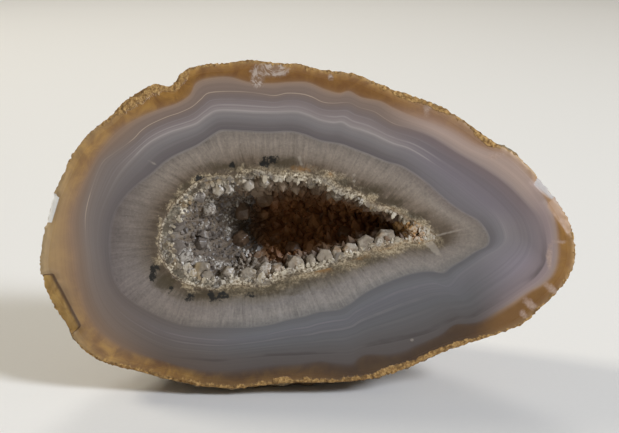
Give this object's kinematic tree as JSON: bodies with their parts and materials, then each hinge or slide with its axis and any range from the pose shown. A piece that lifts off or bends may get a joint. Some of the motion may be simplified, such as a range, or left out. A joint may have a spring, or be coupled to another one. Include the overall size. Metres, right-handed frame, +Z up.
{
  "type": "agate geode half",
  "caption": "Half of an agate geode, cut and polished on one side, with banded agate, a quartz layer and a crystal-lined hollow.",
  "frame": {"origin": "bottom centre of the stone's box, on the floor that it stands on", "axes": "+Z up, +X along the long axis of the cut face to the viewer's right, +Y to the back; the polished face looks towards -Y and leans back 8 degrees"},
  "size_m": [0.1305, 0.0531, 0.0819],
  "materials": {
    "agate": "polished on the cut face, rough brown skin on the outside",
    "druse": "sparkling crust of small crystals, iron-stained brown in the depth",
    "quartz_crystal": "glassy natural crystal faces"
  },
  "bodies": {
    "root": {"agate_stone": "agate", "quartz_druse": "druse", "lower_lip_crystal_1": "quartz_crystal", "lower_lip_crystal_2": "quartz_crystal", "lower_lip_crystal_3": "quartz_crystal", "lower_lip_crystal_4": "quartz_crystal", "lower_lip_crystal_5": "quartz_crystal", "lower_lip_crystal_6": "quartz_crystal", "lower_lip_crystal_7": "quartz_crystal", "lower_lip_crystal_8": "quartz_crystal", "lower_lip_crystal_9": "quartz_crystal", "floor_lip_crystal_1": "quartz_crystal", "floor_lip_crystal_2": "quartz_crystal", "floor_lip_crystal_3": "quartz_crystal", "floor_lip_crystal_4": "quartz_crystal", "floor_lip_crystal_5": "quartz_crystal", "left_wall_crystal_1": "quartz_crystal", "left_wall_crystal_2": "quartz_crystal", "left_wall_crystal_3": "quartz_crystal", "left_wall_crystal_4": "quartz_crystal", "left_wall_crystal_5": "quartz_crystal", "left_wall_crystal_6": "quartz_crystal", "left_wall_crystal_7": "quartz_crystal", "upper_lip_crystal_1": "quartz_crystal", "upper_lip_crystal_2": "quartz_crystal", "upper_lip_crystal_3": "quartz_crystal", "upper_lip_crystal_4": "quartz_crystal", "upper_lip_crystal_5": "quartz_crystal", "upper_lip_crystal_6": "quartz_crystal", "upper_lip_crystal_7": "quartz_crystal", "deep_crystal_1": "quartz_crystal", "deep_crystal_2": "quartz_crystal", "deep_crystal_3": "quartz_crystal", "deep_crystal_4": "quartz_crystal", "deep_crystal_5": "quartz_crystal", "deep_crystal_6": "quartz_crystal"}
  },
  "joints": []
}
